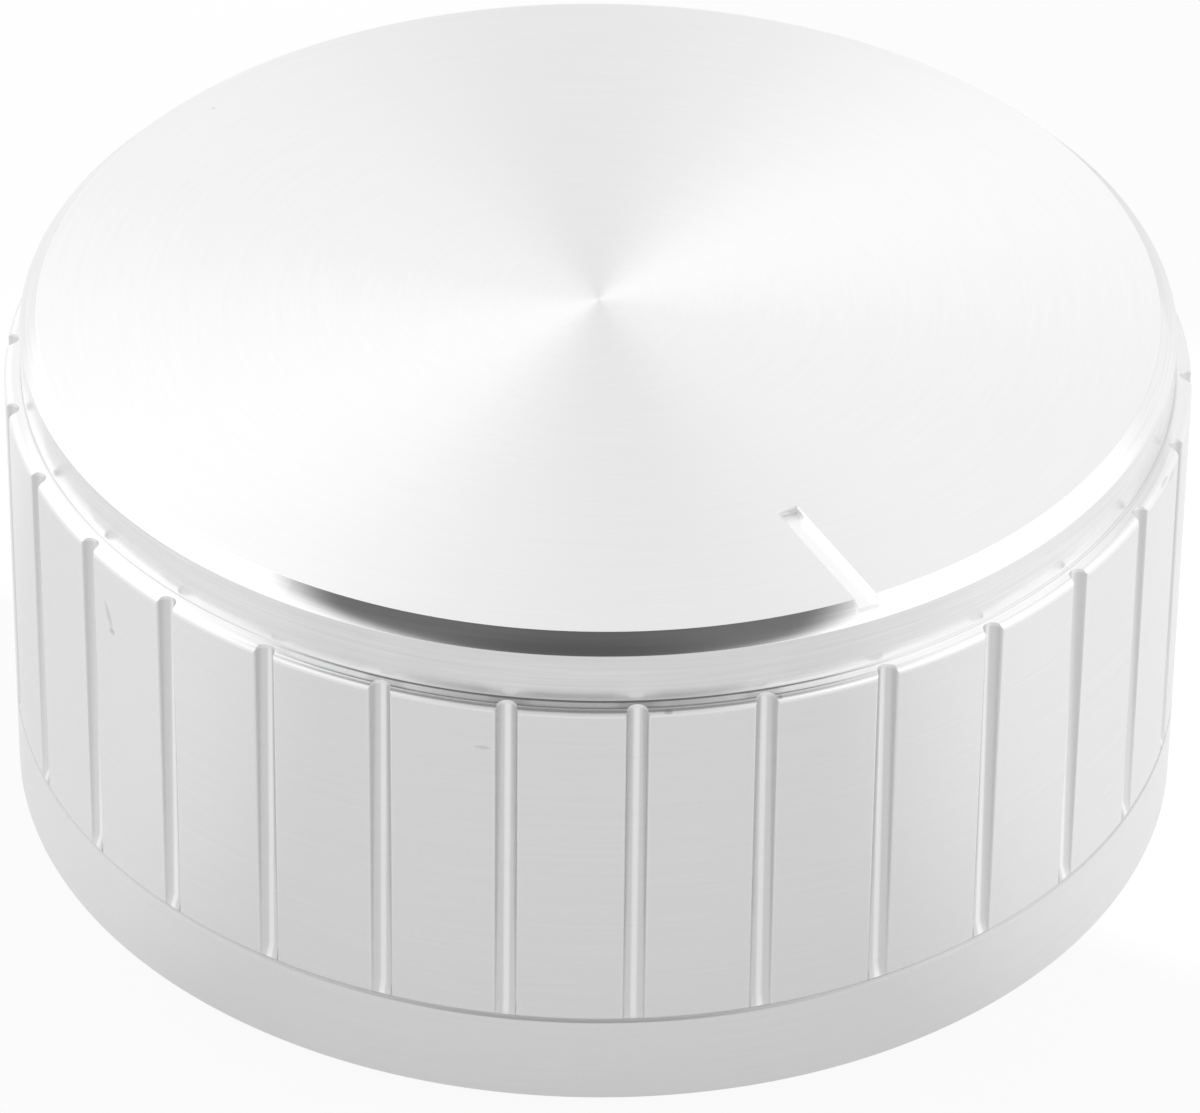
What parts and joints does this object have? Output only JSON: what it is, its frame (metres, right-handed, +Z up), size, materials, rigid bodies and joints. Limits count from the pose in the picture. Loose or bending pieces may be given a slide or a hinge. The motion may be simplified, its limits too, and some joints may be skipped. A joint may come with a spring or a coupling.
{
  "type": "potentiometer knob",
  "caption": "Round silver control knob with a spun top, milled pointer slot, fluted grip and a moulded core for a 6 mm shaft.",
  "frame": {"origin": "centre of the base rim, on the turning axis, where the rim stands", "axes": "+Z up along the turning axis, from the base rim to the top face; +Y towards the pointer slot"},
  "size_m": [0.044, 0.044, 0.02],
  "materials": {
    "spun_aluminium": "turned and anodised, satin, with a spun top",
    "moulded_black": "satin moulding"
  },
  "bodies": {
    "root": {"shell": "spun_aluminium", "core": "moulded_black"}
  },
  "joints": []
}
